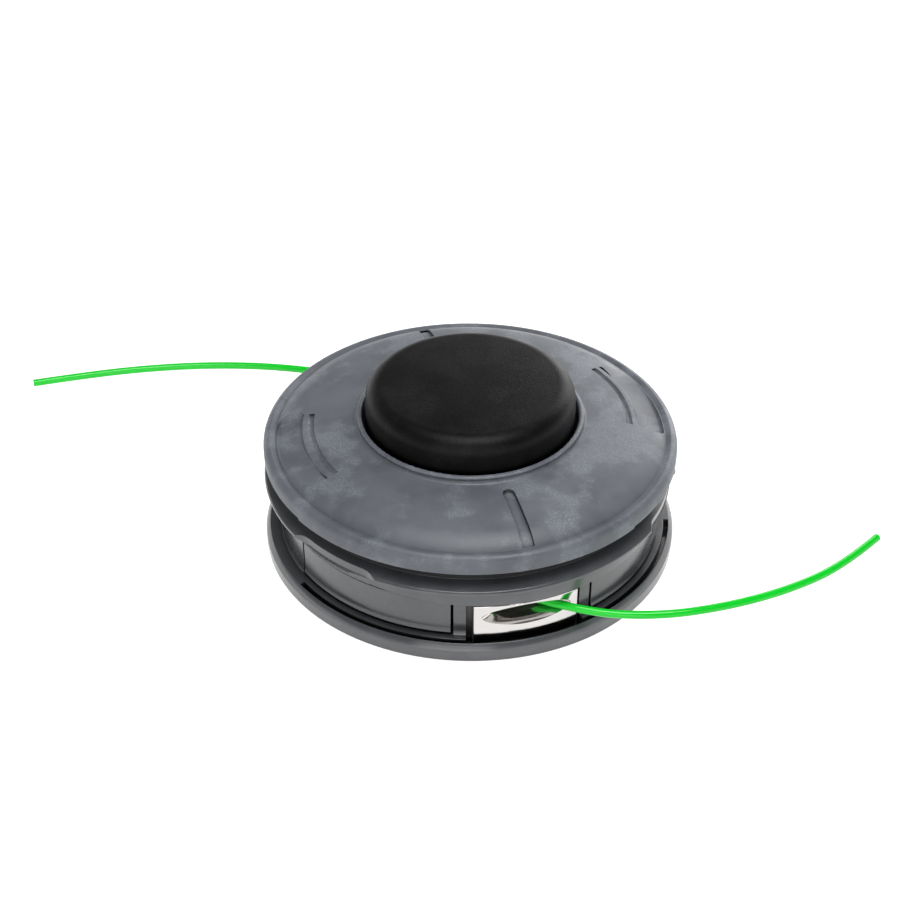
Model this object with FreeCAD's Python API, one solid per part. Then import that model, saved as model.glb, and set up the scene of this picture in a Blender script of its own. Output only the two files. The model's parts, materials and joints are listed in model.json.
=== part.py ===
import FreeCAD, Part
import math
import os

from FreeCAD import Vector

# Bump feed trimmer head, millimetres. It stands on its base flange with +Z up through the
# bump knob. The origin is the middle of the base, and the front line eyelet faces -Y.
# Plan angles are degrees from the front eyelet, counter-clockwise seen from above.

# Driving dimensions: housing
base_reach = 5.6
base_face_h = 4.0
base_top = 6.0
base_edge = 0.7
shoulder_w = 1.6
slot_w = 1.6
slot_depth = 3.5
slot_end = 70.0
slot_lap = 1.0
neck_step = 0.3
wall_t = 2.2
wall_flare = 0.6
wall_flare_h = 2.5
foot_w = 10.0
floor_under = 2.0
floor_t = 2.0
window_h = 13.0
cove_reach = 3.0
cove_h = 4.8
cove_lip = 0.6
flange_lip = 1.9
flange_rise = 0.7
flange_h = 1.5
flange_edge = 0.4
trim_start = 44.0
trim_end = 67.0
trim_ramp = 6.0
trim_round = 8.0
visor_reach = 4.2
visor_drop = 4.3
visor_shift = 7.5
visor_edge = 0.4
visor_span = 60.0
neck_slope_h = 1.6
neck_h = 7.0
rib_count = 8
rib_t = 2.0
rib_relief = 0.5
boss_r = 14.2
boss_top = 15.0
boss_wall = 2.4

# Driving dimensions: latch panels and eyelets
panel_start = 20.5
panel_end = 74.0
panel_gap = 0.8
panel_skin = 2.3
panel_rail = 2.2
eyelet_window = 16.9
eyelet_gap = 1.9
eyelet_top_gap = 0.5
eyelet_reach = 2.1
eyelet_edge = 0.6
eyelet_flange_t = 1.3
eyelet_flange_lap = 1.7
eyelet_sill = 2.5
mouth_rise = 8.1
mouth_half_w = 14.9
mouth_half_h = 3.65
mouth_beyond = 1.0
mouth_roll = 1.2
mouth_bend = 1.2
throat_half_w = 7.0
throat_half_h = 1.5
throat_gap = 1.5
throat_past = 0.4
funnel_set = 0.5
eyelet_wall = 1.2

# Driving dimensions: cover
cover_r = 65.0
cover_t = 2.4
skirt_t = 3.8
skirt_drop = 2.1
skirt_gap = 0.5
skirt_edge = 0.5
rim_h = 1.8
bead_set = 2.1
bead_h = 1.9
valley_set = 3.8
valley_drop = 0.45
dome_set = 10.0
dome_rise = 3.25
dome_turn = 11.2
crown_rise = 2.0
lip_foot = 0.9
lip_w = 1.7
lip_rise = 2.2
lip_h = 4.0
lip_edge = 0.8
lip_turn = 20.0
hole_edge = 0.5
landing_w = 6.2
notch_start = 32.4
notch_end = 112.3
notch_h = 1.0
mark_inset = 3.6
mark_rim = 4.0
mark_w = 3.6
mark_depth = 1.1
grip_start = 71.5
grip_end = 110.0
grip_lead = 8.0
grip_rim = 4.1
grip_w = 8.2
grip_sink = 0.05
grip_tilt = 0.25
grip_lean = 0.6
grip_pad = 1.6
grip_corner = 1.6
grip_fillet = 0.9
grip_round = 0.8
groove_set = 2.8
groove_round = 1.0
groove_depth = 0.7
arm_t = 2.3
arm_gap = 0.3

# Driving dimensions: knob and its stem
knob_r = 32.7
knob_draft = 0.2
knob_gap = 1.1
knob_edge = 5.4
knob_stand = 10.5
knob_crown = 0.7
knob_wall = 2.8
knob_flange_w = 3.8
knob_flange_t = 2.4
knob_ribs = 6
knob_rib_t = 1.8
knob_rib_h = 9.0
stem_r = 9.7
stem_wall = 3.0
stem_fit = 0.08
stem_slit = 1.6
collar_w = 3.2
collar_h = 2.0
barb_w = 1.5
barb_h = 2.2

# Driving dimensions: spool, spring, nut and line
bump_travel = 5.5
run_gap = 0.3
latch_flex = 2.8
spool_flange_t = 1.8
spool_middle_t = 1.4
chamber_h = 7.0
hub_r = 26.0
hub_t = 3.5
web_t = 3.2
lug_count = 6
lug_angle = 10.0
lug_h = 2.2
lug_w = 6.0
lug_rim = 2.8
lower_lug_turn = 15.0
upper_lug_gap = 1.5
upper_lug_w = 5.0
lug_rest_gap = 0.5
line_slot_w = 3.0
line_slot_depth = 6.0
winding_t = 18.0
spring_wire = 2.2
spring_gap = 0.6
spring_turns = 4.0
washer_t = 1.0
washer_lap = 1.0
washer_room = 1.8
nut_flats = 17.0
nut_h = 10.0
nut_recess = 1.0
nut_edge = 0.6
nut_collar_r = 6.6
nut_collar_h = 3.0
nut_fit = 0.05
thread_bore_r = 4.32
line_d = 2.5
line_arc_share = 0.45

# Routes of the two free line ends, chosen by hand, at the height of the eyelet mouths
front_line = [(1.0, -54.0), (15.9, -66.4), (35.8, -73.7), (56.6, -75.2), (77.9, -73.2),
              (99.2, -67.1), (115.5, -57.3)]
rear_line = [(-1.0, 54.0), (-13.9, 67.2), (-30.7, 81.0), (-50.6, 90.5), (-71.9, 96.9),
             (-94.2, 100.4), (-115.5, 101.4), (-131.6, 101.2)]

# Radii that follow from the driving dimensions
skirt_in_r = cover_r - skirt_t
neck_r = skirt_in_r - skirt_gap
wall_r = neck_r - neck_step
wall_in_r = wall_r - wall_t
base_r = wall_r + base_reach
slot_out_r = base_r - shoulder_w
slot_in_r = slot_out_r - slot_w
cove_r = wall_r + cove_reach
flange_r = cove_r + flange_lip
visor_r = wall_r + visor_reach
landing_r = skirt_in_r - landing_w
bead_r = cover_r - bead_set
valley_r = cover_r - valley_set
dome_r = cover_r - dome_set
hole_r = knob_r + knob_draft + knob_gap
lip_out_r = hole_r + lip_w
crown_r = lip_out_r + lip_foot
mark_in_r = lip_out_r + mark_inset
mark_out_r = cover_r - mark_rim
grip_out_r = cover_r - grip_rim
grip_in_r = grip_out_r - grip_w
groove_r = grip_in_r - groove_set
knob_flange_r = knob_r + knob_flange_w
arm_out_r = wall_in_r - arm_gap
arm_in_r = arm_out_r - arm_t
spool_r = arm_in_r - latch_flex
throat_r = spool_r + throat_gap
eyelet_r = wall_r + eyelet_reach
hub_in_r = hub_r - hub_t
lug_out_r = spool_r - lug_rim
lug_in_r = lug_out_r - lug_w
upper_lug_r = knob_flange_r + upper_lug_gap
upper_lug_out_r = upper_lug_r + upper_lug_w
spring_r = boss_r + spring_gap + spring_wire / 2
barb_r = stem_r + barb_w
nut_seat_r = nut_collar_r + nut_fit

# Heights that follow from the driving dimensions
floor_top = floor_under + floor_t
window_top = base_top + window_h
cove_top = window_top + cove_h
flange_low = cove_top + flange_rise
flange_top = flange_low + flange_h
visor_top = flange_low
visor_low = visor_top - visor_drop
neck_low = flange_top + neck_slope_h
neck_top = neck_low + neck_h
mouth_z = base_top + mouth_rise
eyelet_top = window_top - eyelet_top_gap
skirt_low = neck_top - skirt_drop
rim_face_top = neck_top + rim_h
bead_top = rim_face_top + bead_h
valley_z = bead_top - valley_drop
dome_z = valley_z + dome_rise
crown_z = dome_z + crown_rise
grip_floor = valley_z - grip_sink
lip_top = crown_z + lip_rise
lip_under = lip_top - lip_h
knob_top = lip_top + knob_stand
knob_low = lip_under - run_gap - knob_flange_t
spool_low = floor_top + run_gap + bump_travel + lug_h
chamber_low = spool_low + spool_flange_t
middle_low = chamber_low + chamber_h
upper_low = middle_low + spool_middle_t
top_flange_low = upper_low + chamber_h
spool_top = top_flange_low + spool_flange_t
web_low = spool_top - web_t
washer_low = web_low - washer_t
nut_top = nut_recess + nut_h
nut_shoulder = nut_top - nut_collar_h

UP = Vector(0, 0, 1)
AXIS = Vector(0, 0, 0)
EYELET_SIDES = (0.0, 180.0)
OVERLAP = 0.6
BEYOND = 5.0
SPRING_SIDES = 6
CREASE = 4.0
MARGIN = 1.0
TOUCH = 0.01


def arc_centre(start, heading, end):
    """Centre of the arc that leaves its start along a heading in degrees."""
    run = end[0] - start[0]
    climb = end[1] - start[1]
    turn = math.radians(heading)
    radius = math.hypot(run, climb) / (2 * math.sin(math.atan2(climb, run) - turn))
    return (start[0] - radius * math.sin(turn), start[1] + radius * math.cos(turn))


def cover_top(r):
    """Height of the cover's dome at a radius: a flat crown arc and a steeper shoulder arc."""
    if r > dome_r:
        centre = arc_centre((dome_r, dome_z), -dome_turn, (valley_r, valley_z))
    else:
        centre = arc_centre((dome_r, dome_z), 180.0 - dome_turn, (crown_r, crown_z))
    radius = math.hypot(dome_r - centre[0], dome_z - centre[1])
    return centre[1] + math.sqrt(radius ** 2 - (r - centre[0]) ** 2)


def cover_fall(r):
    """Slope of the cover's dome at a radius, in radians below level."""
    return math.atan((cover_top(r - TOUCH) - cover_top(r + TOUCH)) / (2 * TOUCH))


def outline(start, *steps):
    """Closed wire in the XZ plane. A step is a point, or a pair (through, end) for an arc."""
    edges = []
    here = Vector(start[0], 0, start[1])
    for step in steps + (start,):
        if isinstance(step[0], tuple):
            through = Vector(step[0][0], 0, step[0][1])
            end = Vector(step[1][0], 0, step[1][1])
            edges.append(Part.Arc(here, through, end).toShape())
        else:
            end = Vector(step[0], 0, step[1])
            edges.append(Part.LineSegment(here, end).toShape())
        here = end
    return Part.Wire(edges)


def turned(wire, start=0.0, end=360.0):
    """Solid of revolution of a wire about Z, from one plan angle to another."""
    solid = Part.Face(wire).revolve(AXIS, UP, end - start)
    solid.rotate(AXIS, UP, start - 90.0)
    return solid


def sector(r_in, r_out, low, high, start, end):
    """Block of a ring between two radii, two heights and two plan angles."""
    return turned(outline((r_in, low), (r_out, low), (r_out, high), (r_in, high)), start, end)


def ring(r_in, r_out, low, high):
    """Plain ring between two radii and two heights."""
    return sector(r_in, r_out, low, high, 0.0, 360.0)


def spun(shape, angle):
    """Copy of a shape turned about Z."""
    copy = shape.copy()
    copy.rotate(AXIS, UP, angle)
    return copy


def around(shape, count):
    """Copies of a shape evenly spaced about Z."""
    return [spun(shape, 360.0 * k / count) for k in range(count)]


def on_both_sides(shape):
    """The shape at the front eyelet and again at the rear one."""
    return [spun(shape, side) for side in EYELET_SIDES]


def joined(first, *others):
    """One clean solid out of overlapping ones."""
    return first.fuse(list(others)).removeSplitter()


def four_panels(make):
    """What make(start, end) gives at each of the four latch panels."""
    pieces = []
    for side in EYELET_SIDES:
        pieces.append(make(side + panel_start, side + panel_end))
        pieces.append(make(side - panel_end, side - panel_start))
    return pieces


def quarter_arc(centre, radius, from_deg, to_deg):
    """Arc step for an outline, round a centre in the XZ plane."""
    middle = math.radians((from_deg + to_deg) / 2)
    last = math.radians(to_deg)
    through = (centre[0] + radius * math.cos(middle), centre[1] + radius * math.sin(middle))
    end = (centre[0] + radius * math.cos(last), centre[1] + radius * math.sin(last))
    return (through, end)


def bend(start, heading, end):
    """Arc step for an outline that leaves its start along a heading in degrees."""
    run = end[0] - start[0]
    climb = end[1] - start[1]
    swing = math.atan2(climb, run) - math.radians(heading)
    bulge = math.tan(swing / 2) / 2
    through = ((start[0] + end[0]) / 2 + bulge * climb, (start[1] + end[1]) / 2 - bulge * run)
    return (through, end)


def hexagon(flats, low, high):
    """Upright hexagonal bar about Z."""
    corner_r = flats / math.sqrt(3.0)
    corners = []
    for k in range(7):
        turn = math.radians(60.0 * k)
        corners.append(Vector(corner_r * math.cos(turn), corner_r * math.sin(turn), low))
    return Part.Face(Part.makePolygon(corners)).extrude(Vector(0, 0, high - low))


def lugs(r_in, r_out, low, high, first):
    """Ratchet lugs, evenly spaced, the first one starting at a plan angle."""
    return around(sector(r_in, r_out, low, high, first, first + lug_angle), lug_count)


def flange_trim(start, end):
    """Cutter for the shallow finger flat in the upper flange above a panel."""
    ends = []
    for angle in (start, end):
        turn = math.radians(angle - 90.0)
        ends.append((math.cos(turn), math.sin(turn)))
    first = Vector(cove_r * ends[0][0], cove_r * ends[0][1], flange_low - OVERLAP)
    last = Vector(cove_r * ends[1][0], cove_r * ends[1][1], flange_low - OVERLAP)
    middle_turn = math.radians((start + end) / 2 - 90.0)
    middle = Vector(cove_r * math.cos(middle_turn), cove_r * math.sin(middle_turn), first.z)
    outer = []
    for angle in (end + trim_ramp, start - trim_ramp):
        turn = math.radians(angle - 90.0)
        reach = flange_r + BEYOND / 2
        outer.append(Vector(reach * math.cos(turn), reach * math.sin(turn), first.z))
    corner_turn = math.radians((start + end) / 2 - 90.0)
    far = (flange_r + BEYOND) * 1.2
    corner = Vector(far * math.cos(corner_turn), far * math.sin(corner_turn), first.z)
    edges = [
        Part.Arc(first, middle, last).toShape(),
        Part.LineSegment(last, outer[0]).toShape(),
        Part.LineSegment(outer[0], corner).toShape(),
        Part.LineSegment(corner, outer[1]).toShape(),
        Part.LineSegment(outer[1], first).toShape(),
    ]
    block = Part.Face(Part.Wire(edges)).extrude(Vector(0, 0, flange_h + 2 * OVERLAP))
    rounded = []
    for edge in block.Edges:
        spot = edge.CenterOfMass
        upright = abs(edge.BoundBox.ZLength - (flange_h + 2 * OVERLAP)) < TOUCH
        if upright and math.hypot(spot.x, spot.y) < cove_r + OVERLAP:
            rounded.append(edge)
    return block.makeFillet(trim_round, rounded)


def make_housing():
    """Base flange, floor, drum wall, upper flange, neck and boss in one moulding."""
    flange_start = flange_r - 1.5 * flange_edge
    body = turned(outline(
        (base_r - foot_w, 0.0),
        (base_r - base_edge, 0.0),
        quarter_arc((base_r - base_edge, base_edge), base_edge, -90.0, 0.0),
        (base_r, base_face_h),
        ((base_r - 0.35 * shoulder_w, base_top - 0.45 * (base_top - base_face_h)),
         (slot_out_r + base_edge / 3, base_top)),
        (wall_r + wall_flare, base_top),
        ((wall_r + 0.25 * wall_flare, base_top + 0.4 * wall_flare_h),
         (wall_r, base_top + wall_flare_h)),
        (wall_r, window_top),
        (wall_r + cove_lip, window_top),
        ((wall_r + cove_lip + 0.24 * (cove_r - wall_r), window_top + 0.52 * (cove_top - window_top)),
         (cove_r, cove_top)),
        (flange_start, flange_low),
        (flange_r, flange_low + flange_edge),
        (flange_r, flange_top - flange_edge),
        (flange_r - flange_edge, flange_top),
        (neck_r, neck_low),
        (neck_r, neck_top),
        (wall_in_r, neck_top),
        (wall_in_r, floor_top),
        (boss_r, floor_top),
        (boss_r, boss_top),
        (nut_seat_r, boss_top),
        (nut_seat_r, 0.0),
        (boss_r + boss_wall, 0.0),
        (boss_r + boss_wall, floor_under),
        (base_r - foot_w, floor_under),
    ))
    visor_round = Part.makeCylinder(visor_r - visor_shift, visor_drop, Vector(0, -visor_shift, visor_low))
    lower_rim = [edge for edge in visor_round.Edges if abs(edge.BoundBox.ZMax - visor_low) < TOUCH]
    visor_round = visor_round.makeFillet(visor_edge, lower_rim)
    visor = visor_round.cut(ring(0.0, wall_r - OVERLAP, visor_low - MARGIN, visor_top + MARGIN))
    visor = visor.common(sector(wall_in_r, visor_r + MARGIN, visor_low - MARGIN, visor_top + MARGIN,
                                 -visor_span, visor_span))
    floor_lugs = lugs(lug_in_r, lug_out_r, floor_top - OVERLAP, floor_top + lug_h, lower_lug_turn)
    rib = Part.makeBox(base_r - foot_w - boss_r, rib_t, floor_under - rib_relief + OVERLAP,
                       Vector(boss_r + boss_wall / 2, -rib_t / 2, rib_relief))
    body = joined(body, *on_both_sides(visor), *floor_lugs, *around(rib, rib_count))
    cutters = [hexagon(nut_flats, -OVERLAP, nut_shoulder)]
    cutters += four_panels(lambda start, end: sector(
        wall_in_r - MARGIN, wall_r + MARGIN, base_top, window_top, start, end))
    eyelet_bay = joined(
        sector(wall_in_r - MARGIN, slot_out_r, eyelet_sill, base_top + MARGIN, -eyelet_window, eyelet_window),
        sector(wall_in_r - MARGIN, wall_r + MARGIN, base_top, window_top, -eyelet_window, eyelet_window))
    cutters += on_both_sides(eyelet_bay)
    for side in EYELET_SIDES:
        for start, end in ((eyelet_window - slot_lap, slot_end), (-slot_end, slot_lap - eyelet_window)):
            cutters.append(sector(slot_in_r, slot_out_r, base_top - slot_depth, base_top + MARGIN,
                                  side + start, side + end))
        cutters.append(flange_trim(side + trim_start, side + trim_end))
        cutters.append(flange_trim(side - trim_end, side - trim_start))
    return body.cut(cutters).removeSplitter()


def panel_outline():
    """Section of a latch panel and its arm, flush with the drum wall outside."""
    low = base_top + panel_gap
    return outline(
        (arm_in_r, low),
        (wall_r + 0.8 * wall_flare, low),
        ((wall_r + 0.25 * wall_flare, low + 0.35 * wall_flare_h),
         (wall_r, base_top + wall_flare_h)),
        (wall_r, window_top - panel_gap),
        (arm_out_r, window_top - panel_gap),
        (arm_out_r, neck_top + OVERLAP),
        (arm_in_r, neck_top + OVERLAP),
    )


def latch_arm(start, end):
    """Springy arm from the cover's underside down to the panel that fills its window."""
    side_gap = math.degrees(panel_gap / wall_r)
    rail = math.degrees(panel_rail / wall_r)
    arm = turned(panel_outline(), start + side_gap, end - side_gap)
    middle = (start + end) / 2
    low = base_top + panel_gap + panel_rail
    high = window_top - panel_gap - panel_rail
    pockets = []
    for a, b in ((start + side_gap + rail, middle - rail / 2), (middle + rail / 2, end - side_gap - rail)):
        pockets.append(sector(arm_in_r - MARGIN, wall_r - panel_skin, low, high, a, b))
    return arm.cut(pockets)


def mark_groove():
    """Cutter for the rounded groove in the cover that shows where the eyelet is."""

    def floor(r):
        return (r, cover_top(r) - mark_depth)

    inner_r = mark_in_r - MARGIN
    skin = turned(outline(
        floor(inner_r),
        (floor((inner_r + dome_r) / 2), floor(dome_r)),
        (floor((dome_r + mark_out_r) / 2), floor(mark_out_r)),
        (mark_out_r, lip_top),
        (inner_r, lip_top),
    ))
    bar = Part.makeBox(mark_w, mark_out_r - mark_in_r - mark_w / 2 + MARGIN, lip_top,
                       Vector(-mark_w / 2, -mark_out_r - MARGIN, 0))
    bar = bar.fuse(Part.makeCylinder(mark_w / 2, lip_top, Vector(0, -mark_in_r - mark_w / 2, 0)))
    return skin.common(bar)


def finger_ramp():
    """Cutter for a finger grip: a leaning end and a tilted floor that runs out on the dome."""
    block = sector(grip_in_r, grip_out_r, grip_floor - BEYOND, lip_top,
                   grip_start - grip_lead, grip_end + grip_lead)
    middle_r = (grip_in_r + grip_out_r) / 2
    floor_drop = grip_tilt * middle_r
    above_floor = Part.Face(Part.makePolygon([
        Vector(0, -BEYOND, grip_floor + floor_drop),
        Vector(2 * middle_r, -BEYOND, grip_floor - floor_drop),
        Vector(2 * middle_r, -BEYOND, 2 * lip_top),
        Vector(0, -BEYOND, 2 * lip_top),
        Vector(0, -BEYOND, grip_floor + floor_drop),
    ])).extrude(Vector(0, 2 * cover_r, 0))
    past_end = Part.Face(Part.makePolygon([
        Vector(0, grip_lean * BEYOND, grip_floor - BEYOND),
        Vector(0, 2 * cover_r, grip_floor - BEYOND),
        Vector(0, 2 * cover_r, lip_top),
        Vector(0, grip_lean * (grip_floor - lip_top), lip_top),
        Vector(0, grip_lean * BEYOND, grip_floor - BEYOND),
    ])).extrude(Vector(2 * cover_r, 0, 0))
    wedge = above_floor.common(past_end)
    wedge.rotate(AXIS, UP, grip_start - 90.0)
    ramp = block.common(wedge)
    turn = math.radians(grip_start)
    end = min(ramp.Faces, key=lambda face: face.CenterOfMass.dot(Vector(math.cos(turn), math.sin(turn), 0)))
    corners = [edge for edge in end.Edges if edge.BoundBox.ZLength > (lip_top - grip_floor) / 2]
    ramp = ramp.makeFillet(grip_corner, corners)
    floor = min(ramp.Faces, key=lambda face: face.CenterOfMass.z)
    return ramp.makeFillet(grip_fillet, floor.Edges)


def grip_crest():
    """Cutter that rounds the upper edge of a finger grip's inner wall."""
    fall = cover_fall(grip_in_r)
    high = cover_top(grip_in_r)
    reach = grip_round / math.tan((math.pi / 2 + fall) / 2)
    on_dome = (grip_in_r - reach * math.cos(fall), high + reach * math.sin(fall))
    on_wall = (grip_in_r, high - reach)
    return turned(outline(
        on_dome,
        bend(on_dome, -math.degrees(fall) - CREASE, on_wall),
        (grip_in_r + OVERLAP, on_wall[1]),
        (grip_in_r + OVERLAP, on_dome[1] + OVERLAP),
        (on_dome[0], on_dome[1] + OVERLAP),
    ), grip_start, grip_end)


def grip_groove():
    """Cutter for the groove that sets off a ridge along a finger grip."""
    middle = Vector(groove_r, 0, cover_top(groove_r) + groove_round - groove_depth)
    section = Part.Wire(Part.makeCircle(groove_round, middle, Vector(0, 1, 0)))
    return turned(section, grip_start, grip_end)


def make_cover():
    """Domed cover with a raised lip round the knob, a skirt and four latch arms."""
    valley = (valley_r, valley_z)
    shoulder = (dome_r, dome_z)
    crown = (crown_r, crown_z)
    shoulder_arc = bend(shoulder, -dome_turn, valley)
    lip_heading = 180.0 - math.degrees(cover_fall(crown_r))
    lip_centre = (lip_out_r - lip_edge, lip_top - lip_edge)
    lip_start = (lip_centre[0] + lip_edge * math.cos(math.radians(lip_turn)),
                 lip_centre[1] + lip_edge * math.sin(math.radians(lip_turn)))
    shell = turned(outline(
        (skirt_in_r, skirt_low),
        (cover_r - skirt_edge, skirt_low),
        quarter_arc((cover_r - skirt_edge, skirt_low + skirt_edge), skirt_edge, -90.0, 0.0),
        (cover_r, rim_face_top),
        ((cover_r - 0.3 * (cover_r - bead_r), bead_top - 0.32 * (bead_top - rim_face_top)),
         (bead_r, bead_top)),
        (((bead_r + valley_r) / 2 + 0.3, (bead_top + valley_z) / 2 + 0.05), valley),
        (shoulder_arc[0], shoulder),
        bend(shoulder, 180.0 - dome_turn, crown),
        bend(crown, lip_heading, lip_start),
        quarter_arc(lip_centre, lip_edge, lip_turn, 90.0),
        (hole_r + hole_edge, lip_top),
        quarter_arc((hole_r + hole_edge, lip_top - hole_edge), hole_edge, 90.0, 180.0),
        (hole_r, lip_under),
        (knob_flange_r + 2 * run_gap, lip_under),
        (crown_r + cover_t, crown_z - cover_t),
        (landing_r, cover_top(landing_r) - cover_t),
        (landing_r, neck_top),
        (skirt_in_r, neck_top),
    ))
    lug_ring_low = spool_top + lug_h + lug_rest_gap
    lug_ring = turned(outline(
        (upper_lug_r, lug_ring_low),
        (upper_lug_out_r, lug_ring_low),
        (upper_lug_out_r, cover_top(upper_lug_out_r) - cover_t / 2),
        (upper_lug_r, cover_top(upper_lug_out_r) - cover_t / 2),
    ))
    cover_lugs = lugs(upper_lug_r, upper_lug_out_r, spool_top + run_gap, lug_ring_low + OVERLAP, 0.0)
    pad_low = grip_floor - grip_pad
    pad = sector(grip_in_r - grip_pad, landing_r + OVERLAP, pad_low, cover_top(landing_r) - OVERLAP,
                 grip_start - grip_lead, grip_end)
    shell = joined(shell, lug_ring, *cover_lugs, *on_both_sides(pad), *four_panels(latch_arm))
    notch = sector(skirt_in_r - MARGIN, cover_r + MARGIN, skirt_low - MARGIN, skirt_low + notch_h,
                   notch_start, notch_end)
    cutters = on_both_sides(notch) + on_both_sides(mark_groove()) + on_both_sides(finger_ramp())
    cutters += on_both_sides(grip_crest()) + on_both_sides(grip_groove())
    return shell.cut(cutters).removeSplitter()


def make_knob():
    """Hollow bump knob with a retaining flange, ribs and a split snap stem."""
    crown = knob_top + knob_crown
    inner_r = knob_r - knob_wall
    flange_top_z = knob_low + knob_flange_t
    flat_r = knob_r - knob_edge
    inner_edge = knob_edge - knob_wall
    crown_ball_r = (flat_r ** 2 + knob_crown ** 2) / (2 * knob_crown)
    crown_half_turn = math.asin(flat_r / crown_ball_r) / 2
    crown_mid_r = crown_ball_r * math.sin(crown_half_turn)
    crown_mid_z = crown - crown_ball_r * (1 - math.cos(crown_half_turn))
    cup = turned(outline(
        (inner_r, knob_low),
        (knob_flange_r, knob_low),
        (knob_flange_r, flange_top_z),
        (knob_r + knob_draft, flange_top_z),
        (knob_r, knob_top - knob_edge),
        quarter_arc((flat_r, knob_top - knob_edge), knob_edge, 0.0, 90.0),
        ((crown_mid_r, crown_mid_z), (0.0, crown)),
        (0.0, crown - knob_wall),
        ((crown_mid_r, crown_mid_z - knob_wall), (flat_r, knob_top - knob_wall)),
        quarter_arc((flat_r, knob_top - knob_edge), inner_edge, 90.0, 0.0),
    ))
    stem_top = knob_top - knob_wall / 2
    barb_top = web_low - run_gap
    collar_low = spool_top + run_gap
    stem_in_r = stem_r - stem_wall
    stem = turned(outline(
        (stem_in_r, barb_top - barb_h),
        (stem_r, barb_top - barb_h),
        (barb_r, barb_top - barb_h / 3),
        (barb_r, barb_top),
        (stem_r, barb_top),
        (stem_r, collar_low),
        (stem_r + collar_w, collar_low),
        (stem_r + collar_w, collar_low + collar_h),
        (stem_r, collar_low + collar_h),
        (stem_r, stem_top),
        (stem_in_r, stem_top),
    ))
    rib_bite = knob_wall / 2
    rib_top = knob_top - knob_wall + rib_bite
    rib = Part.makeBox(inner_r + rib_bite - stem_r + OVERLAP, knob_rib_t, knob_rib_h,
                       Vector(stem_r - OVERLAP, -knob_rib_t / 2, rib_top - knob_rib_h))
    rounding = turned(outline(
        (0.0, knob_low),
        (inner_r + rib_bite, knob_low),
        (inner_r + rib_bite, knob_top - knob_edge),
        quarter_arc((flat_r, knob_top - knob_edge), inner_edge + rib_bite, 0.0, 90.0),
        (0.0, rib_top),
    ))
    ribs = [piece.common(rounding) for piece in around(rib, knob_ribs)]
    knob = joined(cup, stem, *ribs)
    slit_low = barb_top - barb_h - MARGIN
    slit = Part.makeBox(2 * barb_r + 2 * MARGIN, stem_slit, collar_low - slit_low,
                        Vector(-barb_r - MARGIN, -stem_slit / 2, slit_low))
    return knob.cut([slit, spun(slit, 90.0)])


def make_spool():
    """Spool with two chambers, a slotted middle flange and lugs above and below."""
    body = turned(outline(
        (hub_in_r, spool_low),
        (spool_r, spool_low),
        (spool_r, chamber_low),
        (hub_r, chamber_low),
        (hub_r, middle_low),
        (spool_r, middle_low),
        (spool_r, upper_low),
        (hub_r, upper_low),
        (hub_r, top_flange_low),
        (spool_r, top_flange_low),
        (spool_r, spool_top),
        (stem_r + stem_fit, spool_top),
        (stem_r + stem_fit, web_low),
        (hub_in_r, web_low),
    ))
    lug_rest = lug_angle + math.degrees(lug_rest_gap / upper_lug_r)
    upper = lugs(upper_lug_r, upper_lug_out_r, spool_top - OVERLAP, spool_top + lug_h, lug_rest)
    lower = lugs(lug_in_r, lug_out_r, spool_low - lug_h, spool_low + OVERLAP, 0.0)
    slot = Part.makeBox(line_slot_depth + MARGIN, line_slot_w, spool_middle_t + MARGIN,
                        Vector(spool_r - line_slot_depth, -line_slot_w / 2, middle_low - MARGIN / 2))
    return joined(body, *upper, *lower).cut(around(slot, 2)).removeSplitter()


def make_winding(low):
    """Outer shape of one layer-wound stretch of line in its chamber."""
    return ring(hub_r, hub_r + winding_t, low, low + chamber_h)


def make_spring():
    """Wire spring between the housing floor and the washer, with a six-sided section."""
    height = washer_low - floor_top - spring_wire
    path = Part.makeHelix(height / spring_turns, height, spring_r)
    along = Vector(0, 2 * math.pi * spring_r, height / spring_turns).normalize()
    outward = Vector(1, 0, 0)
    across = along.cross(outward)
    corners = []
    for k in range(SPRING_SIDES + 1):
        turn = 2 * math.pi * k / SPRING_SIDES
        swing = outward * math.cos(turn) + across * math.sin(turn)
        corners.append(outward * spring_r + swing * (spring_wire / 2))
    coil = path.makePipeShell([Part.makePolygon(corners)], True, True)
    coil.translate(Vector(0, 0, floor_top + spring_wire / 2))
    return coil


def make_washer():
    """Flat washer that keeps the turning spool off the end of the spring."""
    return ring(barb_r + washer_room, spring_r + spring_wire + washer_lap, washer_low, web_low)


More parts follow.
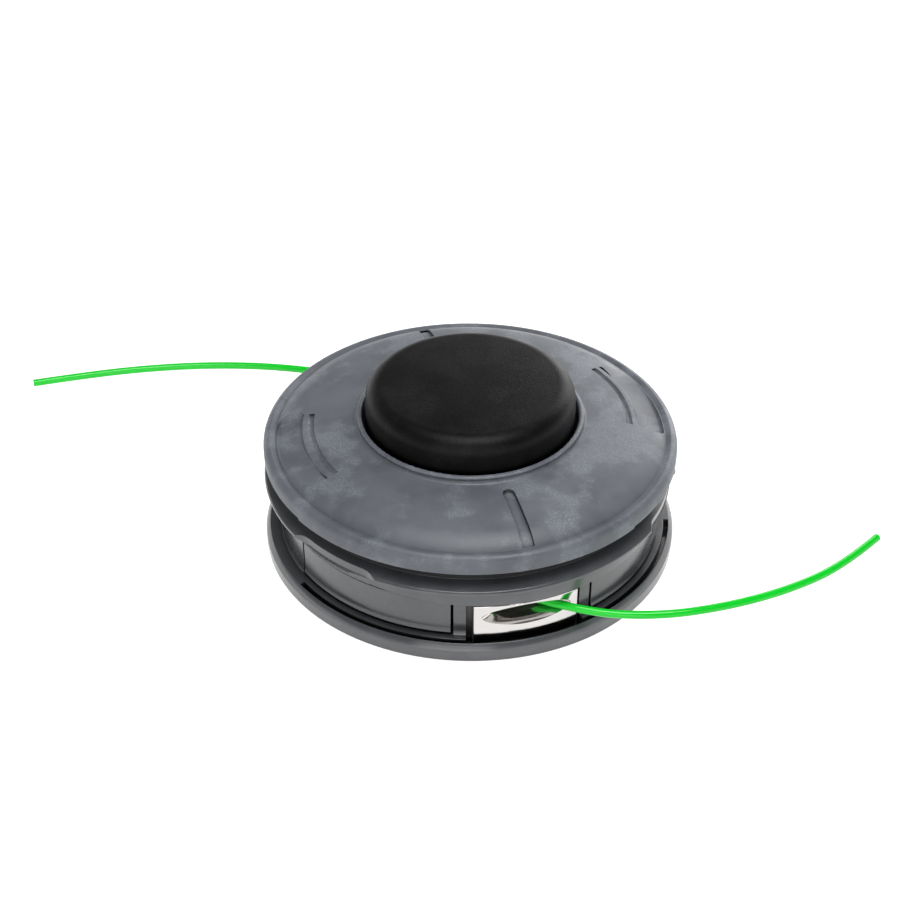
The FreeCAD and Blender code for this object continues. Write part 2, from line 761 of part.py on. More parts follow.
def make_eyelet():
    """Polished line eyelet: thick curved plate, inner flange and trumpet mouth."""
    half = eyelet_window - math.degrees(eyelet_gap / wall_r)
    lap = math.degrees(eyelet_flange_lap / wall_r)
    plate = sector(wall_in_r - OVERLAP, eyelet_r, eyelet_sill, eyelet_top, -half, half)
    front = max(plate.Faces, key=lambda face: -face.CenterOfMass.y)
    plate = plate.makeFillet(eyelet_edge, front.Edges)
    flange = sector(wall_in_r - eyelet_flange_t, wall_in_r, floor_top, window_top + eyelet_flange_lap,
                    -eyelet_window - lap, eyelet_window + lap)

    def oval(depth, width_share, height_share, extra=0.0):
        half_w = throat_half_w + width_share * (mouth_half_w - throat_half_w) + extra
        half_h = throat_half_h + height_share * (mouth_half_h - throat_half_h) + extra
        wire = Part.Wire(Part.Ellipse(Vector(0, 0, 0), half_w, half_h).toShape())
        wire.rotate(AXIS, Vector(1, 0, 0), 90.0)
        wire.translate(Vector(0, -depth, mouth_z))
        return wire

    # Each section has a depth and its shares of the way from throat to mouth, in width and height
    funnel = Part.makeLoft([oval(wall_in_r - funnel_set, 0.5, 0.5, eyelet_wall),
                            oval(throat_r, 0.1, 0.1, eyelet_wall)], True)
    bore = Part.makeLoft([
        oval(eyelet_r + mouth_beyond, 1.09, 1.35),
        oval(eyelet_r, 1.0, 1.0),
        oval(eyelet_r - mouth_roll, 0.9, 0.74),
        oval(eyelet_r - 2 * mouth_roll, 0.71, 0.6),
        oval(wall_in_r - mouth_bend, 0.33, 0.33),
        oval(throat_r - throat_past, 0.0, 0.0),
    ], True)
    return joined(plate, flange, funnel).cut(bore).removeSplitter()


def make_nut():
    """Hexagon nut with a round collar above and the drive thread's bore."""
    nut = joined(hexagon(nut_flats, nut_recess, nut_shoulder), ring(0.0, nut_collar_r, nut_recess, nut_top))
    bore = turned(outline(
        (0.0, nut_recess - OVERLAP),
        (thread_bore_r + nut_edge + OVERLAP, nut_recess - OVERLAP),
        (thread_bore_r, nut_recess + nut_edge),
        (thread_bore_r, nut_top - nut_edge),
        (thread_bore_r + nut_edge + OVERLAP, nut_top + OVERLAP),
        (0.0, nut_top + OVERLAP),
    ))
    return nut.cut(bore)


def make_line_end(name, route):
    """Tube of line along straight runs joined by tangent arcs as large as the runs allow."""
    points = [Vector(x, y, mouth_z) for x, y in route]
    edges = []
    radii = []
    here = points[0]
    for before, corner, after in zip(points, points[1:], points[2:]):
        into = (corner - before).normalize()
        out = (after - corner).normalize()
        reach = line_arc_share * min((corner - before).Length, (after - corner).Length)
        half_turn = into.getAngle(out) / 2
        radius = reach / math.tan(half_turn)
        radii.append(radius)
        begin = corner - into * reach
        finish = corner + out * reach
        inward = (out - into).normalize()
        middle = corner + inward * (math.hypot(radius, reach) - radius)
        edges.append(Part.LineSegment(here, begin).toShape())
        edges.append(Part.Arc(begin, middle, finish).toShape())
        here = finish
    edges.append(Part.LineSegment(here, points[-1]).toShape())
    path = Part.Wire(edges)
    section = Part.Wire(Part.makeCircle(line_d / 2, points[0], points[1] - points[0]))
    tube = path.makePipeShell([section], True, False)
    print(name, "arc radii", [round(radius, 1) for radius in radii], "length", round(path.Length, 1))
    print(name, "volume", round(tube.Volume, 1), "section x length",
          round(math.pi * line_d ** 2 / 4 * path.Length, 1))
    return tube


eyelet = make_eyelet()
nodes = {
    "housing": make_housing(),
    "cover": make_cover(),
    "bump_knob": make_knob(),
    "spool": make_spool(),
    "line_winding_lower": make_winding(chamber_low),
    "line_winding_upper": make_winding(upper_low),
    "spring": make_spring(),
    "spring_washer": make_washer(),
    "eyelet_front": eyelet,
    "eyelet_rear": spun(eyelet, 180.0),
    "arbor_nut": make_nut(),
    "line_end_front": make_line_end("line_end_front", front_line),
    "line_end_rear": make_line_end("line_end_rear", rear_line),
}

os.makedirs("parts", exist_ok=True)
for name, shape in nodes.items():
    shape.exportStep("parts/" + name + ".step")
    print(name, "solids", len(shape.Solids), "valid", shape.isValid(), "volume", round(shape.Volume, 1))
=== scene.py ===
# %% [markdown]
# # A bump feed trimmer head
# This lesson dresses a trimmer head: a grey moulded housing and cover, a black bump knob, two
# polished line eyelets and two ends of green nylon line. The solid model is the fixed frame.
# It comes in first, in metres.

# %% Load the frame
import json
import math
import bmesh
import bpy
from mathutils import Matrix, Vector

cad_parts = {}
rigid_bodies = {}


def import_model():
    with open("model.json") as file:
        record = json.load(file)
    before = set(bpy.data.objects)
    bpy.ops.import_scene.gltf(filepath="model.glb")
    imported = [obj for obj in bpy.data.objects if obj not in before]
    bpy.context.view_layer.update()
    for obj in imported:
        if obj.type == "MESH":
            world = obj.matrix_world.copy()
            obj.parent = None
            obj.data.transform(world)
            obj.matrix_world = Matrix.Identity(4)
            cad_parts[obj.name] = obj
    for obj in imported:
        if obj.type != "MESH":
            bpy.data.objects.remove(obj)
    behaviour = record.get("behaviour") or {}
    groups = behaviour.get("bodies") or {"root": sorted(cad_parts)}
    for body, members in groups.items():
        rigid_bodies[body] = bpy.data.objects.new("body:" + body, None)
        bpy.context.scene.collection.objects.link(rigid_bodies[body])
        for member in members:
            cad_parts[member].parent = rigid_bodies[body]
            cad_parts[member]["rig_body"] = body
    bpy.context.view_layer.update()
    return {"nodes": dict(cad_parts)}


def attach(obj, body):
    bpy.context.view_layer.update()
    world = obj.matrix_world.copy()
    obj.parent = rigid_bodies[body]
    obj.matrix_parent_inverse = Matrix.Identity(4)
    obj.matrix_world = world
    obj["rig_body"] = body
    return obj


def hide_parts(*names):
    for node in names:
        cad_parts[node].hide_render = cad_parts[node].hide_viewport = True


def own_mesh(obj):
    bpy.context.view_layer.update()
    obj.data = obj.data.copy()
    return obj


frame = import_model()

scene = bpy.context.scene
scene.view_settings.view_transform = "Standard"

# %% [markdown]
# The camera looks down on the head from the front, a little to its left, as a person at a
# workbench would. Its place was worked out from the round edges in the photograph: a circle of
# known size seen as an oval gives both the height and the distance of the eye.

# %% Camera
VIEW_TURN = math.radians(15.4)
VIEW_DROP = math.radians(35.7)
EYE = Vector((-0.1199, -0.4114, 0.3378))
FOCAL_LENGTH = 66.41
SENSOR_WIDTH = 36.0

camera_data = bpy.data.cameras.new("camera")
camera_data.sensor_width = SENSOR_WIDTH
camera_data.lens = FOCAL_LENGTH
camera = bpy.data.objects.new("camera", camera_data)
scene.collection.objects.link(camera)
gaze = Vector((math.sin(VIEW_TURN) * math.cos(VIEW_DROP),
               math.cos(VIEW_TURN) * math.cos(VIEW_DROP),
               -math.sin(VIEW_DROP)))
camera.matrix_world = Matrix.Translation(EYE) @ gaze.to_track_quat("-Z", "Y").to_matrix().to_4x4()
scene.camera = camera
print("camera at", tuple(EYE), "looking along", tuple(round(v, 3) for v in gaze))

# %% [markdown]
# Nylon trimmer line keeps the curl of its spool, so each free end leaves its eyelet in one long
# bend. It could be a swept mesh, but a smooth spline along a few guiding points draws that bend
# with less work, and a round bevel, scaled by each point's own radius, gives it its 2.5 mm
# thickness. The guiding points are the same ones that the solid model uses.

# %% Line ends
LINE_DIAMETER = 0.0025
LINE_FACETS = 7
LINE_STEPS = 24
MOUTH_HEIGHT = 0.0141
FRONT_ROUTE = [(0.0010, -0.0540), (0.0159, -0.0664), (0.0358, -0.0737), (0.0566, -0.0752),
               (0.0779, -0.0732), (0.0992, -0.0671), (0.1155, -0.0573)]
REAR_ROUTE = [(-0.0010, 0.0540), (-0.0139, 0.0672), (-0.0307, 0.0810), (-0.0506, 0.0905),
              (-0.0719, 0.0969), (-0.0942, 0.1004), (-0.1155, 0.1014), (-0.1316, 0.1012)]


def lay_line(name, route):
    """One free end of line: a round NURBS curve that leaves its eyelet."""
    curve = bpy.data.curves.new(name, "CURVE")
    curve.dimensions = "3D"
    curve.bevel_depth = 1.0
    curve.bevel_resolution = LINE_FACETS
    curve.resolution_u = LINE_STEPS
    curve.use_fill_caps = True
    spline = curve.splines.new("NURBS")
    spline.points.add(len(route) - 1)
    for point, (x, y) in zip(spline.points, route):
        point.co = (x, y, MOUTH_HEIGHT, 1.0)
        point.radius = LINE_DIAMETER / 2
    spline.order_u = 3
    spline.use_endpoint_u = True
    piece = bpy.data.objects.new(name, curve)
    scene.collection.objects.link(piece)
    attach(piece, "head")
    return piece


front_line = lay_line("line_front", FRONT_ROUTE)
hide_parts("line_end_front")
rear_line = lay_line("line_rear", REAR_ROUTE)
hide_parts("line_end_rear")
print("line ends", front_line.name, rear_line.name)

# %% [markdown]
# The solid model's nodes arrive as loose triangles. A copy with its doubled corners merged can
# be shaded smooth between its crisp edges, so the round walls of the mouldings catch the light
# as one surface. The copy stands for its node and moves with the same body. The spring's wire has
# a six-sided section, and a wider angle makes it look round.

# %% Smooth copies of the pieces
MERGE_DISTANCE = 1e-6
CRISP_ANGLE = math.radians(19)
WIRE_ANGLE = math.radians(75)
CRISP_NODES = ("housing", "cover", "bump_knob", "eyelet_front", "eyelet_rear", "spool",
               "arbor_nut", "spring_washer", "line_winding_lower", "line_winding_upper")


def smooth_copy(node, name, crisp_angle=CRISP_ANGLE):
    """A merged copy of a node, shaded smooth between crisp edges."""
    source = frame["nodes"][node]
    mesh = source.data.copy()
    mesh.name = name
    mesh.materials.clear()
    mesh.attributes.remove(mesh.attributes["custom_normal"])
    build = bmesh.new()
    build.from_mesh(mesh)
    bmesh.ops.remove_doubles(build, verts=build.verts, dist=MERGE_DISTANCE)
    build.to_mesh(mesh)
    build.free()
    mesh.shade_smooth()
    mesh.set_sharp_from_angle(angle=crisp_angle)
    piece = bpy.data.objects.new(name, mesh)
    scene.collection.objects.link(piece)
    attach(piece, source["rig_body"])
    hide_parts(node)
    return piece


skins = {node: smooth_copy(node, node + "_skin") for node in CRISP_NODES}
skins["spring"] = smooth_copy("spring", "spring_skin", WIRE_ANGLE)
print("smooth copies", sorted(skins))

# %% [markdown]
# A finish is a tree of small nodes. Three helpers keep the trees short to write: one adds a node
# with its settings, one turns a range of a value softly into another range, and one multiplies.

# %% Helpers for node trees


def add_node(tree, kind, **settings):
    """A shader node with some of its settings."""
    node = tree.nodes.new(kind)
    for key, value in settings.items():
        setattr(node, key, value)
    return node


def remap(tree, source, low, high, to_low=0.0, to_high=1.0):
    """A soft step from one range of a value to another."""
    step = add_node(tree, "ShaderNodeMapRange", interpolation_type="SMOOTHSTEP")
    step.inputs["From Min"].default_value = low
    step.inputs["From Max"].default_value = high
    step.inputs["To Min"].default_value = to_low
    step.inputs["To Max"].default_value = to_high
    tree.links.new(source, step.inputs["Value"])
    return step


def times(tree, first, second):
    """The product of two values."""
    product = add_node(tree, "ShaderNodeMath", operation="MULTIPLY")
    tree.links.new(first, product.inputs[0])
    tree.links.new(second, product.inputs[1])
    return product.outputs["Value"]


print("helpers", add_node.__name__, remap.__name__, times.__name__)

# %% [markdown]
# Moulded nylon is never one flat grey. The melt cools unevenly, so its sheen drifts in soft
# clouds, the mould's spark-eroded skin leaves a fine grain, and handling leaves pale specks in
# patches of it; the specks also stand for the glint of the grain, so they are partly a painted
# highlight. Narrow gaps get painted shade: their colour is darkened where nearby walls close them
# in. Several finishes share this, so it is a node group: clouds, specks and grain come from two
# noises, and each finish says how strong they are and how open to its surroundings a spot is.

# %% Shared effect: moulded skin, with painted gap shade and painted glints
SKIN_INPUTS = (("Colour", "NodeSocketColor"), ("Cloud Colour", "NodeSocketColor"),
               ("Speck Colour", "NodeSocketColor"), ("Speck Amount", "NodeSocketFloat"),
               ("Cloud Scale", "NodeSocketFloat"), ("Grain Scale", "NodeSocketFloat"),
               ("Roughness Low", "NodeSocketFloat"), ("Roughness High", "NodeSocketFloat"),
               ("Openness", "NodeSocketFloat"), ("Gap Openness", "NodeSocketFloat"))
SKIN_OUTPUTS = (("Colour", "NodeSocketColor"), ("Roughness", "NodeSocketFloat"),
                ("Height", "NodeSocketFloat"))
CLOUD_DETAIL = 4.0
CLOUD_BREAKUP = 0.58
GRAIN_DETAIL = 2.0
DRIFT_RANGE = (0.3, 0.7)
PATCH_RANGE = (0.47, 0.62)
SPECK_RANGE = (0.48, 0.66)
FAINTEST_SPECK = 0.3
GAP_SHADE = 0.03


def build_skin_and_shade():
    """Group: cloudy colour with pale specks (wear and painted glints), painted shade in narrow
    gaps, cloudy roughness and a grain height.
    """
    group = bpy.data.node_groups.new("skin_and_painted_shade", "ShaderNodeTree")
    for name, kind in SKIN_INPUTS:
        group.interface.new_socket(name=name, in_out="INPUT", socket_type=kind)
    for name, kind in SKIN_OUTPUTS:
        group.interface.new_socket(name=name, in_out="OUTPUT", socket_type=kind)
    links = group.links
    entry = add_node(group, "NodeGroupInput")
    leave = add_node(group, "NodeGroupOutput")

    # Two noises on the piece itself: wide clouds and fine grain
    place = add_node(group, "ShaderNodeTexCoord")
    cloud = add_node(group, "ShaderNodeTexNoise")
    cloud.inputs["Detail"].default_value = CLOUD_DETAIL
    cloud.inputs["Roughness"].default_value = CLOUD_BREAKUP
    grain = add_node(group, "ShaderNodeTexNoise")
    grain.inputs["Detail"].default_value = GRAIN_DETAIL
    for noise, scale in ((cloud, "Cloud Scale"), (grain, "Grain Scale")):
        links.new(place.outputs["Object"], noise.inputs["Vector"])
        links.new(entry.outputs[scale], noise.inputs["Scale"])
    channels = add_node(group, "ShaderNodeSeparateColor")
    links.new(cloud.outputs["Color"], channels.inputs["Color"])

    # Colour: drifting clouds, then pale specks where a patch and the grain meet: wear and painted
    # glints
    drift = remap(group, channels.outputs["Red"], *DRIFT_RANGE)
    patch = remap(group, channels.outputs["Green"], *PATCH_RANGE)
    speck = remap(group, grain.outputs["Fac"], *SPECK_RANGE, FAINTEST_SPECK, 1.0)
    rub_and_glint = times(group, patch.outputs["Result"], speck.outputs["Result"])
    rub_and_glint = times(group, rub_and_glint, entry.outputs["Speck Amount"])
    tint = add_node(group, "ShaderNodeMix", data_type="RGBA")
    links.new(drift.outputs["Result"], tint.inputs["Factor"])
    links.new(entry.outputs["Colour"], tint.inputs["A"])
    links.new(entry.outputs["Cloud Colour"], tint.inputs["B"])
    wear_and_glint = add_node(group, "ShaderNodeMix", data_type="RGBA")
    links.new(rub_and_glint, wear_and_glint.inputs["Factor"])
    links.new(tint.outputs["Result"], wear_and_glint.inputs["A"])
    links.new(entry.outputs["Speck Colour"], wear_and_glint.inputs["B"])

    # Narrow gaps get painted shade, and the sheen drifts with the clouds
    painted_gap_shade = remap(group, entry.outputs["Openness"], 0.0, 1.0, GAP_SHADE, 1.0)
    links.new(entry.outputs["Gap Openness"], painted_gap_shade.inputs["From Min"])
    shaded = add_node(group, "ShaderNodeMix", data_type="RGBA", blend_type="MULTIPLY")
    shaded.inputs["Factor"].default_value = 1.0
    links.new(wear_and_glint.outputs["Result"], shaded.inputs["A"])
    links.new(painted_gap_shade.outputs["Result"], shaded.inputs["B"])
    sheen = add_node(group, "ShaderNodeMapRange")
    links.new(drift.outputs["Result"], sheen.inputs["Value"])
    links.new(entry.outputs["Roughness Low"], sheen.inputs["To Min"])
    links.new(entry.outputs["Roughness High"], sheen.inputs["To Max"])
    links.new(shaded.outputs["Result"], leave.inputs["Colour"])
    links.new(sheen.outputs["Result"], leave.inputs["Roughness"])
    links.new(grain.outputs["Fac"], leave.inputs["Height"])
    return group


skin_and_painted_shade = build_skin_and_shade()
print("group", skin_and_painted_shade.name)

# %% [markdown]
# Each plastic is the moulded skin with its own values. Moulded edges are never quite sharp, and a
# bevel on every edge of the mesh would cost many faces, so a small rounding is added to the
# surface direction near each edge instead. How open a spot is comes from rays that look for
# nearby walls: its own walls only, or those of the other pieces too. Where a spot is closed in,
# its colour is darkened: painted shade.

# %% How a plastic is made
EDGE_ROUND = 0.0003
NEARBY_RAYS = 8
SPECK_TINT = (0.93, 1.0, 1.12)


def new_material(name):
    """An empty finish: its node tree and its shader."""
    material = bpy.data.materials.new(name)
    material.use_nodes = True
    return material, material.node_tree, material.node_tree.nodes["Principled BSDF"]


def plastic(name, colour, cloud_colour, speck, scales, roughness, grain_depth, gloss, gap):
    """A moulded plastic. speck is (grey, amount), scales is (clouds, grain), and gap is
    (reach in metres, openness at which it is dark, whether only its own walls count)."""
    speck_grey, speck_amount = speck
    cloud_scale, grain_scale = scales
    gap_reach, gap_openness, own_walls_only = gap
    material, tree, shader = new_material(name)
    skin = add_node(tree, "ShaderNodeGroup", node_tree=skin_and_painted_shade)
    skin.inputs["Colour"].default_value = (*colour, 1.0)
    skin.inputs["Cloud Colour"].default_value = (*cloud_colour, 1.0)
    skin.inputs["Speck Colour"].default_value = (*(speck_grey * tint for tint in SPECK_TINT), 1.0)
    skin.inputs["Speck Amount"].default_value = speck_amount
    skin.inputs["Cloud Scale"].default_value = cloud_scale
    skin.inputs["Grain Scale"].default_value = grain_scale
    skin.inputs["Roughness Low"].default_value = roughness[0]
    skin.inputs["Roughness High"].default_value = roughness[1]
    skin.inputs["Gap Openness"].default_value = gap_openness
    # Painted shade: the colour is darkened where nearby walls close a spot in.
    openness = add_node(tree, "ShaderNodeAmbientOcclusion", samples=NEARBY_RAYS,
                        only_local=own_walls_only)
    openness.inputs["Distance"].default_value = gap_reach
    edges = add_node(tree, "ShaderNodeBevel", samples=NEARBY_RAYS)
    edges.inputs["Radius"].default_value = EDGE_ROUND
    bump = add_node(tree, "ShaderNodeBump")
    bump.inputs["Distance"].default_value = grain_depth
    shader.inputs["Specular IOR Level"].default_value = gloss
    tree.links.new(openness.outputs["AO"], skin.inputs["Openness"])
    tree.links.new(edges.outputs["Normal"], bump.inputs["Normal"])
    tree.links.new(skin.outputs["Colour"], shader.inputs["Base Color"])
    tree.links.new(skin.outputs["Roughness"], shader.inputs["Roughness"])
    tree.links.new(skin.outputs["Height"], bump.inputs["Height"])
    tree.links.new(bump.outputs["Normal"], shader.inputs["Normal"])
    return material


print("edges rounded by", EDGE_ROUND, "m")

# %% [markdown]
# The head has five plastics: a smooth satin grey for the housing, a bluer grey, duller and more
# handled, with more pale specks and painted glints, for the cover, a dull black with a coarse
# grain for the knob, and a plain dark plastic for the hidden spool. The housing's neck lies in
# shadow behind the cover's rim, and that shade is painted: the neck gets a near-black grey of its
# own.

# %% Plastics
housing_plastic = plastic(
    "smooth_grey_nylon", colour=(0.070, 0.073, 0.080), cloud_colour=(0.088, 0.092, 0.100),
    speck=(0.2, 0.0), scales=(80.0, 2600.0), roughness=(0.16, 0.26), grain_depth=0.00002,
    gloss=0.8, gap=(0.004, 0.12, False))
# Painted shade: a near-black grey for the neck, which lies in shadow under the cover's rim.
neck_shade_plastic = plastic(
    "painted_neck_shade_nylon", colour=(0.014, 0.0145, 0.0155), cloud_colour=(0.018, 0.0185, 0.0195),
    speck=(0.05, 0.0), scales=(80.0, 2600.0), roughness=(0.16, 0.26), grain_depth=0.00002,
    gloss=0.5, gap=(0.006, 0.2, False))
# Its pale specks are wear and also painted glints of the grain.
cover_plastic = plastic(
    "handled_glinting_grey_nylon", colour=(0.098, 0.107, 0.125), cloud_colour=(0.128, 0.139, 0.158),
    speck=(0.40, 0.42), scales=(75.0, 2400.0), roughness=(0.40, 0.54), grain_depth=0.00004,
    gloss=0.5, gap=(0.0018, 0.32, True))
black_plastic = plastic(
    "dull_black_nylon", colour=(0.0028, 0.0025, 0.0025), cloud_colour=(0.0042, 0.0038, 0.0038),
    speck=(0.03, 0.3), scales=(70.0, 2200.0), roughness=(0.38, 0.46), grain_depth=0.00007,
    gloss=0.12, gap=(0.009, 0.3, False))
spool_plastic = plastic(
    "dark_spool_nylon", colour=(0.05, 0.05, 0.052), cloud_colour=(0.06, 0.06, 0.062),
    speck=(0.1, 0.1), scales=(90.0, 2000.0), roughness=(0.4, 0.5), grain_depth=0.00003,
    gloss=0.5, gap=(0.004, 0.3, True))
for finish in (housing_plastic, neck_shade_plastic, cover_plastic, black_plastic, spool_plastic):
    print("plastic", finish.name)

# %% [markdown]
# The eyelets are polished metal. Polishing leaves hair-fine scratches that run round the piece,
# which break up the reflections a little. A noise stretched along the height drives the
# roughness, a slight dulling of the colour and a very shallow bump. The narrow sides, what lies
# behind the housing's wall and the throat get a dark, rough metal: its darkness is painted shade
# for these parts in shadow. The nut, the washer and the spring are plated steel.

# %% Metals
SCRATCH_STRETCH = (1.0, 1.0, 14.0)
SCRATCH_DETAIL = 4.0


def metal(name, colour, dulled, roughness, scratch_scale, scratch_depth):
    """A polished or plated metal with fine scratches, slightly dulled along them."""
    material, tree, shader = new_material(name)
    shader.inputs["Metallic"].default_value = 1.0
    place = add_node(tree, "ShaderNodeTexCoord")
    stretch = add_node(tree, "ShaderNodeMapping")
    stretch.inputs["Scale"].default_value = SCRATCH_STRETCH
    scratch = add_node(tree, "ShaderNodeTexNoise")
    scratch.inputs["Scale"].default_value = scratch_scale
    scratch.inputs["Detail"].default_value = SCRATCH_DETAIL
    spread = add_node(tree, "ShaderNodeMapRange")
    spread.inputs["To Min"].default_value = roughness[0]
    spread.inputs["To Max"].default_value = roughness[1]
    tint = add_node(tree, "ShaderNodeMix", data_type="RGBA")
    tint.inputs["A"].default_value = (*colour, 1.0)
    tint.inputs["B"].default_value = (*dulled, 1.0)
    bump = add_node(tree, "ShaderNodeBump")
    bump.inputs["Distance"].default_value = scratch_depth
    tree.links.new(place.outputs["Object"], stretch.inputs["Vector"])
    tree.links.new(stretch.outputs["Vector"], scratch.inputs["Vector"])
    tree.links.new(scratch.outputs["Fac"], spread.inputs["Value"])
    tree.links.new(spread.outputs["Result"], shader.inputs["Roughness"])
    tree.links.new(scratch.outputs["Fac"], tint.inputs["Factor"])
    tree.links.new(tint.outputs["Result"], shader.inputs["Base Color"])
    tree.links.new(scratch.outputs["Fac"], bump.inputs["Height"])
    tree.links.new(bump.outputs["Normal"], shader.inputs["Normal"])
    return material


eyelet_metal = metal(
    "polished_eyelet", colour=(0.62, 0.60, 0.59), dulled=(0.54, 0.52, 0.51),
    roughness=(0.06, 0.16), scratch_scale=260.0, scratch_depth=0.000004)
# Painted shade: a dark, rough metal for the eyelet parts that lie in shadow.
eyelet_shade_finish = metal(
    "painted_shade_on_eyelets", colour=(0.15, 0.145, 0.14), dulled=(0.11, 0.105, 0.10),
    roughness=(0.45, 0.6), scratch_scale=320.0, scratch_depth=0.00001)
zinc_steel = metal(
    "zinc_plated_steel", colour=(0.60, 0.60, 0.61), dulled=(0.50, 0.50, 0.51),
    roughness=(0.25, 0.42), scratch_scale=320.0, scratch_depth=0.000008)
print("metals", eyelet_metal.name, eyelet_shade_finish.name, zinc_steel.name)

# %% [markdown]
# Extruded line is bright and glossy. Its colour wavers a little along its length where the melt
# was thicker, and its skin is very slightly uneven. One wide noise gives the waver and one fine
# noise the skin.

# %% Green line
LINE_GREEN = (0.002, 0.62, 0.018, 1.0)
LINE_PALE_GREEN = (0.004, 0.76, 0.032, 1.0)
LINE_GLOSS = 0.4
LINE_SMOOTHEST = 0.12
LINE_ROUGHEST = 0.22
WAVER_SCALE = 60.0
RIPPLE_SCALE = 900.0
RIPPLE_DEPTH = 0.00002


def line_nylon():
    """Glossy green nylon line."""
    material, tree, shader = new_material("green_line_nylon")
    shader.inputs["Specular IOR Level"].default_value = LINE_GLOSS
    place = add_node(tree, "ShaderNodeTexCoord")
    waver = add_node(tree, "ShaderNodeTexNoise")
    waver.inputs["Scale"].default_value = WAVER_SCALE
    tint = add_node(tree, "ShaderNodeMix", data_type="RGBA")
    tint.inputs["A"].default_value = LINE_GREEN
    tint.inputs["B"].default_value = LINE_PALE_GREEN
    sheen = add_node(tree, "ShaderNodeMapRange")
    sheen.inputs["To Min"].default_value = LINE_SMOOTHEST
    sheen.inputs["To Max"].default_value = LINE_ROUGHEST
    ripple = add_node(tree, "ShaderNodeTexNoise")
    ripple.inputs["Scale"].default_value = RIPPLE_SCALE
    bump = add_node(tree, "ShaderNodeBump")
    bump.inputs["Distance"].default_value = RIPPLE_DEPTH
    tree.links.new(place.outputs["Object"], waver.inputs["Vector"])
    tree.links.new(waver.outputs["Fac"], tint.inputs["Factor"])
    tree.links.new(waver.outputs["Fac"], sheen.inputs["Value"])
    tree.links.new(tint.outputs["Result"], shader.inputs["Base Color"])
    tree.links.new(sheen.outputs["Result"], shader.inputs["Roughness"])
    tree.links.new(place.outputs["Object"], ripple.inputs["Vector"])
    tree.links.new(ripple.outputs["Fac"], bump.inputs["Height"])
    tree.links.new(bump.outputs["Normal"], shader.inputs["Normal"])
    return material


green_line = line_nylon()
print("line", green_line.name)

# %% [markdown]
# Every piece now gets its finish. A table keeps each piece with its finish and the name of its
# slot, so that a finish can be changed in one place.

# %% Dress the pieces
FINISHES = {
    "housing": (housing_plastic, "grey_plastic"),
    "cover": (cover_plastic, "grey_plastic"),
    "bump_knob": (black_plastic, "black_plastic"),
    "spool": (spool_plastic, "spool_plastic"),
    "eyelet_front": (eyelet_metal, "eyelet_metal"),
    "eyelet_rear": (eyelet_metal, "eyelet_metal"),
    "arbor_nut": (zinc_steel, "steel"),
    "spring_washer": (zinc_steel, "steel"),
    "spring": (zinc_steel, "steel"),
    "line_winding_lower": (green_line, "line"),
    "line_winding_upper": (green_line, "line"),
}
for node, (finish, slot_name) in FINISHES.items():
    skins[node].data.materials.append(finish)
for piece in (front_line, rear_line):
    piece.data.materials.append(green_line)
print("dressed", len(FINISHES) + 2, "pieces")

# %% [markdown]
# Some pieces have regions with a finish of their own: the sides and throat of an eyelet and the
# neck of the housing above its upper flange, both darkened as painted shade, and the latch panels
# of the cover, which are as smooth as the wall around them. Each region could be cut out as a
# mesh of its own, but sorting the faces by where they lie keeps the piece whole.

# %% Second finishes
SIDEWAYS = 0.7
MOUTH_HALF_WIDTH = 0.0152
WALL_RADIUS = 0.0600
THROAT_RADIUS = 0.0580
NECK_LOW = 0.0276
PANEL_TOP = 0.0260


def is_shaded_eyelet_part(face):
    """The narrow sides of an eyelet, what lies behind the housing's wall, and the throat: painted
    shade.
    """
    radius = math.hypot(face.center.x, face.center.y)
    at_side = abs(face.center.x) > MOUTH_HALF_WIDTH
    cut_side = at_side and (radius < WALL_RADIUS or abs(face.normal.x) > SIDEWAYS)
    return radius < THROAT_RADIUS or cut_side


def is_shaded_neck(face):
    """The housing's wall above its upper flange, which gets painted shade."""
    return face.center.z > NECK_LOW


def is_panel(face):
    """The cover's latch arms with their panels."""
    return face.center.z < PANEL_TOP


for node, finish, belongs in (("eyelet_front", eyelet_shade_finish, is_shaded_eyelet_part),
                              ("eyelet_rear", eyelet_shade_finish, is_shaded_eyelet_part),
                              ("housing", neck_shade_plastic, is_shaded_neck),
                              ("cover", housing_plastic, is_panel)):
    mesh = skins[node].data
    mesh.materials.append(finish)
    chosen = [face for face in mesh.polygons if belongs(face)]
    for face in chosen:
        face.material_index = 1
    print(node, "has", len(chosen), "faces of", finish.name)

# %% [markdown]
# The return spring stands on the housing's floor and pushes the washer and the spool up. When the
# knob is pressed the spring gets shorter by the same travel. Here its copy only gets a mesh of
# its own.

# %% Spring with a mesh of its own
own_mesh(skins["spring"])

# %% [markdown]
# The head stands on a plain pale floor. To the eye the floor is white, in reflections it is
# nearly white, and as a lamp it lights the walls softly from below. A Light Path node tells these
# kinds of ray apart. From below the floor is clear, so that the underside can be looked at.

# %% Floor
FLOOR_HALF = 3.0
FLOOR_DROP = 0.0002


def light_level(tree, plain, seen, mirrored):
    """A strength that differs for lighting rays, camera or clear rays, and glossy rays."""
    path = add_node(tree, "ShaderNodeLightPath")
    direct = add_node(tree, "ShaderNodeMath", operation="MAXIMUM")
    tree.links.new(path.outputs["Is Camera Ray"], direct.inputs[0])
    tree.links.new(path.outputs["Is Transmission Ray"], direct.inputs[1])
    to_seen = add_node(tree, "ShaderNodeMix", data_type="FLOAT")
    to_seen.inputs["A"].default_value = plain
    to_seen.inputs["B"].default_value = seen
    tree.links.new(direct.outputs["Value"], to_seen.inputs["Factor"])
    to_mirrored = add_node(tree, "ShaderNodeMix", data_type="FLOAT")
    to_mirrored.inputs["B"].default_value = mirrored
    tree.links.new(path.outputs["Is Glossy Ray"], to_mirrored.inputs["Factor"])
    tree.links.new(to_seen.outputs["Result"], to_mirrored.inputs["A"])
    return to_mirrored


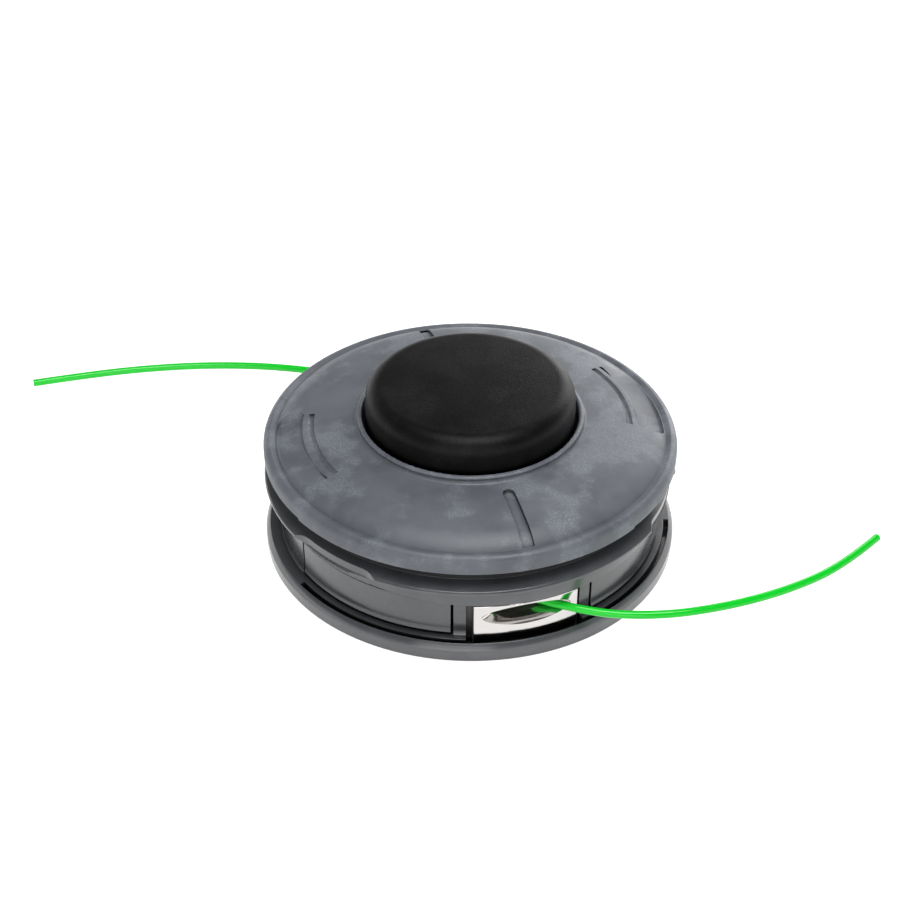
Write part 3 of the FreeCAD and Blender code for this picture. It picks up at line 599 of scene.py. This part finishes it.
def floor_finish(matte_grey, plain, seen, mirrored):
    """A matte pale finish with a glow of its own, clear from below."""
    material, tree, default_shader = new_material("pale_floor")
    tree.nodes.remove(default_shader)
    matte = add_node(tree, "ShaderNodeBsdfDiffuse")
    matte.inputs["Color"].default_value = (matte_grey, matte_grey, matte_grey, 1.0)
    glow = add_node(tree, "ShaderNodeEmission")
    both = add_node(tree, "ShaderNodeAddShader")
    level = light_level(tree, plain, seen, mirrored)
    tree.links.new(level.outputs["Result"], glow.inputs["Strength"])
    tree.links.new(matte.outputs["BSDF"], both.inputs[0])
    tree.links.new(glow.outputs["Emission"], both.inputs[1])
    below = add_node(tree, "ShaderNodeNewGeometry")
    clear = add_node(tree, "ShaderNodeBsdfTransparent")
    one_way = add_node(tree, "ShaderNodeMixShader")
    tree.links.new(below.outputs["Backfacing"], one_way.inputs[0])
    tree.links.new(both.outputs["Shader"], one_way.inputs[1])
    tree.links.new(clear.outputs["BSDF"], one_way.inputs[2])
    tree.links.new(one_way.outputs["Shader"], tree.nodes["Material Output"].inputs["Surface"])
    return material


build = bmesh.new()
bmesh.ops.create_grid(build, x_segments=1, y_segments=1, size=FLOOR_HALF,
                      matrix=Matrix.Translation((0, 0, -FLOOR_DROP)))
floor_mesh = bpy.data.meshes.new("floor")
build.to_mesh(floor_mesh)
build.free()
floor_mesh.materials.append(floor_finish(matte_grey=0.5, plain=0.6, seen=0.92, mirrored=0.95))
floor = bpy.data.objects.new("floor", floor_mesh)
scene.collection.objects.link(floor)
print("floor", 2 * FLOOR_HALF, "m wide")

# %% [markdown]
# The surroundings are white to the eye. In reflections they are bright near the horizon, where
# the backdrop is, and dark overhead, as in a studio with black cloth above. They light the head
# only a little.

# %% World
WHITE = 1.0
SKY_RISE = (0.05, 0.34)


def make_world(plain, horizon, overhead):
    """White surroundings that light the head dimly and look dark overhead in reflections."""
    world = bpy.data.worlds.new("studio")
    scene.world = world
    world.use_nodes = True
    tree = world.node_tree
    background = tree.nodes["Background"]
    background.inputs["Color"].default_value = (WHITE, WHITE, WHITE, 1.0)
    place = add_node(tree, "ShaderNodeTexCoord")
    heading = add_node(tree, "ShaderNodeSeparateXYZ")
    tree.links.new(place.outputs["Generated"], heading.inputs["Vector"])
    sky = remap(tree, heading.outputs["Z"], *SKY_RISE, horizon, overhead)
    level = light_level(tree, plain, WHITE, horizon)
    tree.links.new(sky.outputs["Result"], level.inputs["B"])
    tree.links.new(level.outputs["Result"], background.inputs["Strength"])
    return world


studio = make_world(plain=0.10, horizon=1.8, overhead=0.15)
print("world", studio.name)

# %% [markdown]
# Three soft boxes do the rest of the lighting: one overhead, a weak one in front, and one behind
# at the right that brightens the far side of the cover.

# %% Lamps
HEAD_MIDDLE = Vector((0.0, 0.0, 0.03))


def soft_box(name, place, size, power):
    """Square studio lamp, aimed at the middle of the head."""
    lamp = bpy.data.lights.new(name, "AREA")
    lamp.size = size
    lamp.energy = power
    lamp_object = bpy.data.objects.new(name, lamp)
    scene.collection.objects.link(lamp_object)
    place = Vector(place)
    turn = (HEAD_MIDDLE - place).to_track_quat("-Z", "Y")
    lamp_object.matrix_world = Matrix.Translation(place) @ turn.to_matrix().to_4x4()
    return lamp_object


lamps = [soft_box("overhead", place=(0.0, -0.20, 1.04), size=0.6, power=9.0),
         soft_box("front_fill", place=(-0.35, -0.85, 0.40), size=0.6, power=2.0),
         soft_box("behind_right", place=(0.555, 0.547, 0.30), size=0.5, power=2.8)]
print("lamps", [lamp.name for lamp in lamps])
